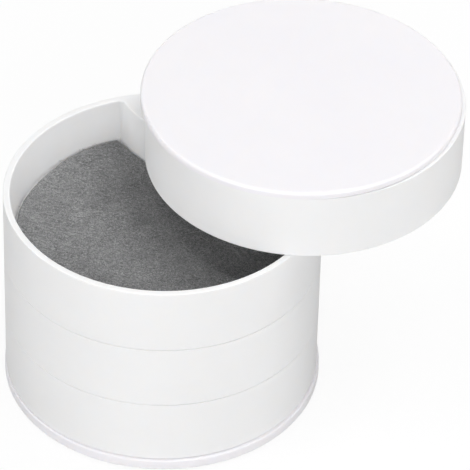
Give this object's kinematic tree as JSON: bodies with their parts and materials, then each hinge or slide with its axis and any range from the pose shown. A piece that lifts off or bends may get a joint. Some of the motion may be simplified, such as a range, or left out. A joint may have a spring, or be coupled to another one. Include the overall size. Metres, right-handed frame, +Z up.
{
  "type": "rotating jewelry box",
  "caption": "Round jewelry box of stacked felt-lined trays and a lid plate that swing out about one upright bolt, shown with the top tray and lid swung open.",
  "frame": {"origin": "middle of the pad's underside, on the surface that the box stands on", "axes": "+Z up, the bolt stands towards +Y, the lid and top tray are swung out towards +X"},
  "size_m": [0.1412, 0.1324, 0.0984],
  "materials": {
    "tray_plastic": "satin white",
    "plate_plastic": "satin lilac white",
    "felt": "grey needle felt",
    "nylon": "natural nylon",
    "pad_rubber": "matt foam rubber",
    "brass": "turned",
    "steel": "turned"
  },
  "bodies": {
    "base": {"base_plate": "plate_plastic", "base_pad": "pad_rubber", "base_washer": "nylon"},
    "bottom_layer": {"bottom_tray": "tray_plastic", "bottom_mat": "felt", "bottom_spacer": "nylon"},
    "lower_layer": {"lower_tray": "tray_plastic", "lower_mat": "felt", "lower_spacer": "nylon"},
    "upper_layer": {"upper_tray": "tray_plastic", "upper_mat": "felt", "upper_spacer": "nylon"},
    "top_layer": {"top_tray": "tray_plastic", "top_mat": "felt", "top_washer": "nylon"},
    "lid": {"lid_plate": "plate_plastic", "lid_insert": "brass", "pivot_bolt": "steel", "spring_washer": "steel"}
  },
  "joints": [
    {"name": "bottom_tray_swing", "type": "hinge", "parent": "base", "child": "bottom_layer", "pos_m": [0, 0.0404, 0], "axis": [0, 0, 1], "continuous": true},
    {"name": "lower_tray_swing", "type": "hinge", "parent": "base", "child": "lower_layer", "pos_m": [0, 0.0404, 0], "axis": [0, 0, 1], "continuous": true},
    {"name": "upper_tray_swing", "type": "hinge", "parent": "base", "child": "upper_layer", "pos_m": [0, 0.0404, 0], "axis": [0, 0, 1], "continuous": true},
    {"name": "top_tray_swing", "type": "hinge", "parent": "base", "child": "top_layer", "pos_m": [0, 0.0404, 0], "axis": [0, 0, 1], "continuous": true},
    {"name": "lid_swing", "type": "hinge", "parent": "base", "child": "lid", "pos_m": [0, 0.0404, 0], "axis": [0, 0, 1], "continuous": true}
  ]
}
